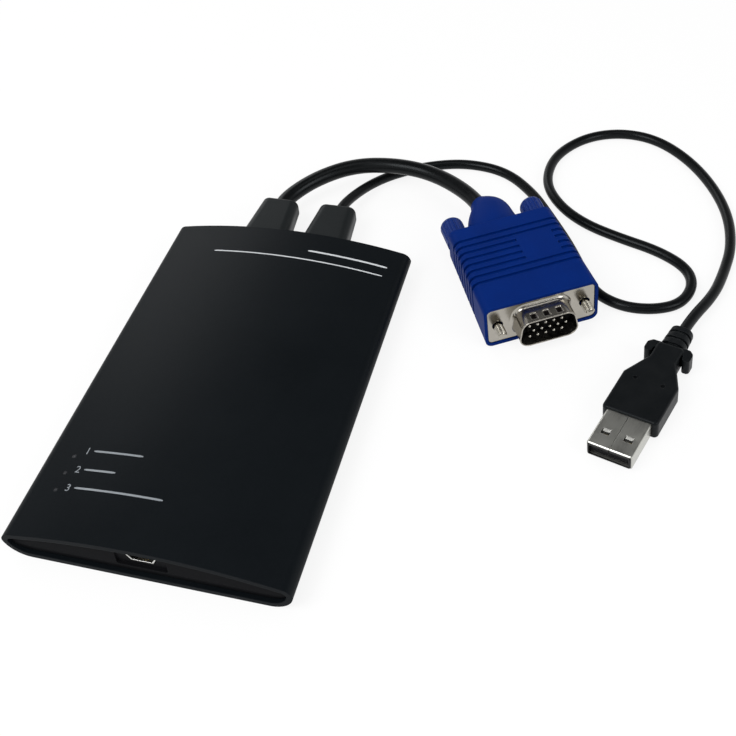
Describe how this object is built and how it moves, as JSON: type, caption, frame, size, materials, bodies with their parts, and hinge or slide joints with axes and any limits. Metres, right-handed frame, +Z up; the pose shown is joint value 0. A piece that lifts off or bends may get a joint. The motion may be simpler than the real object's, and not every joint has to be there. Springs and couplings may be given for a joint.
{
  "type": "crash cart adapter",
  "caption": "Slim arched adapter case with a small socket in one end and two leads from the other, one with a blue video plug and one with a flat keyboard plug",
  "frame": {"origin": "on the resting plane, under the middle of the case", "axes": "+X across the case, +Y along the case from the socket end to the lead end, +Z up"},
  "size_m": [0.1648, 0.1916, 0.016],
  "materials": {
    "case_black": "satin black anodised",
    "cap_black": "satin moulded",
    "boot_black": "satin moulded",
    "lead_black": "semi gloss jacket",
    "hood_blue": "satin moulded",
    "knob_blue": "satin moulded",
    "plug_nickel": "nickel plated",
    "screw_nickel": "nickel plated",
    "socket_nickel": "nickel plated",
    "insulator_black": "moulded",
    "contact_gold": "gold plated",
    "grip_black": "satin moulded",
    "board_green": "solder mask",
    "chip_black": "moulded",
    "can_metal": "drawn can",
    "coil_dark": "ferrite",
    "header_white": "nylon",
    "wire_mixed": "insulated wire",
    "pipe_clear": "clear moulded",
    "lamp_white": "lamp body"
  },
  "bodies": {
    "adapter": {"case_sleeve": "case_black", "front_end_cap": "cap_black", "rear_end_cap": "cap_black", "main_board": "board_green", "mini_usb_shell": "socket_nickel", "mini_usb_tongue": "insulator_black", "mini_usb_contacts": "contact_gold", "status_lamps": "lamp_white", "light_pipes": "pipe_clear", "video_capture_chip": "chip_black", "usb_hub_chip": "chip_black", "memory_chip": "chip_black", "crystal_can": "can_metal", "power_coil": "coil_dark", "capacitors": "can_metal", "video_header": "header_white", "usb_header": "header_white", "video_wires": "wire_mixed", "usb_wires": "wire_mixed", "video_boot": "boot_black", "usb_boot": "boot_black", "video_lead": "lead_black", "usb_lead": "lead_black", "video_hood": "hood_blue", "video_shell": "plug_nickel", "video_insulator": "insulator_black", "video_pins": "contact_gold", "usb_grip": "grip_black", "usb_plug_shell": "plug_nickel", "usb_plug_blade": "insulator_black", "usb_plug_contacts": "contact_gold"},
    "left_thumbscrew": {"left_jackscrew": "screw_nickel", "left_thumb_knob": "knob_blue"},
    "right_thumbscrew": {"right_jackscrew": "screw_nickel", "right_thumb_knob": "knob_blue"}
  },
  "joints": [
    {"name": "left_thumbscrew_turn", "type": "hinge", "parent": "adapter", "child": "left_thumbscrew", "pos_m": [0.06659, 0.03325, 0.00743], "axis": [0.4848, -0.8746, 0], "continuous": true},
    {"name": "right_thumbscrew_turn", "type": "hinge", "parent": "adapter", "child": "right_thumbscrew", "pos_m": [0.08841, 0.04535, 0.0087], "axis": [0.4848, -0.8746, 0], "continuous": true}
  ]
}
